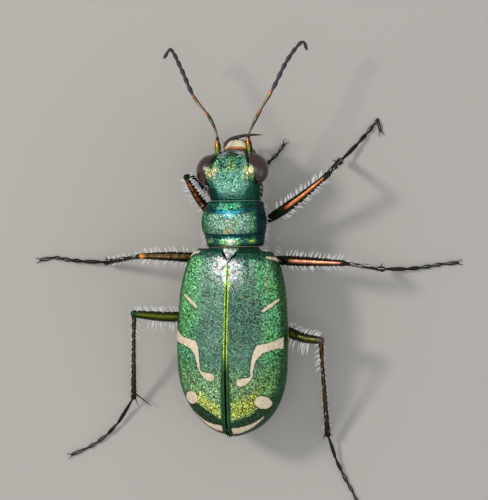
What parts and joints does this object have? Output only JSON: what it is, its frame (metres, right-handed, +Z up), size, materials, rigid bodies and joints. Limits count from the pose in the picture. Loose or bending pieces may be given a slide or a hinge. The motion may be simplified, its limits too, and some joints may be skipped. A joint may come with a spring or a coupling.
{
  "type": "tiger beetle",
  "caption": "Life-size green tiger beetle with cream-marked wing cases, big eyes, sickle jaws and long thin legs, standing still on its feet.",
  "frame": {"origin": "on the floor, under the middle of the model's box", "axes": "+Z up; +Y towards the tail, the head points to -Y; +X to the beetle's left"},
  "size_m": [0.021, 0.0224, 0.0047],
  "materials": {
    "head_cuticle": "granular metallic green cuticle with gold by the eyes",
    "eye": "dark brown compound eye, semi-gloss",
    "labrum": "smooth cream lip",
    "mandible": "dark glossy horn-like jaw",
    "palp": "brown and green glossy cuticle",
    "antenna_base": "copper and green metallic cuticle",
    "antenna_tip": "dull dark cuticle",
    "pronotum_cuticle": "granular metallic green and blue cuticle",
    "elytra": "dull speckled green with cream markings",
    "underside": "metallic blue green cuticle with white hairs",
    "femur": "coppery green metallic cuticle with white bristles",
    "tibia": "dark green brown metallic cuticle with white bristles",
    "tarsus": "dark glossy cuticle with green glints"
  },
  "bodies": {
    "root": {"head": "head_cuticle", "eye_left": "eye", "eye_right": "eye", "labrum": "labrum", "mandible_left": "mandible", "mandible_right": "mandible", "palps_left": "palp", "palps_right": "palp", "antenna_left_base": "antenna_base", "antenna_left_tip": "antenna_tip", "antenna_right_base": "antenna_base", "antenna_right_tip": "antenna_tip", "pronotum": "pronotum_cuticle", "thorax": "underside", "abdomen": "underside", "elytron_left": "elytra", "elytron_right": "elytra", "leg_fore_left_femur": "femur", "leg_fore_left_tibia": "tibia", "leg_fore_left_tarsus": "tarsus", "leg_fore_right_femur": "femur", "leg_fore_right_tibia": "tibia", "leg_fore_right_tarsus": "tarsus", "leg_mid_left_femur": "femur", "leg_mid_left_tibia": "tibia", "leg_mid_left_tarsus": "tarsus", "leg_mid_right_femur": "femur", "leg_mid_right_tibia": "tibia", "leg_mid_right_tarsus": "tarsus", "leg_hind_left_femur": "femur", "leg_hind_left_tibia": "tibia", "leg_hind_left_tarsus": "tarsus", "leg_hind_right_femur": "femur", "leg_hind_right_tibia": "tibia", "leg_hind_right_tarsus": "tarsus"}
  },
  "joints": []
}
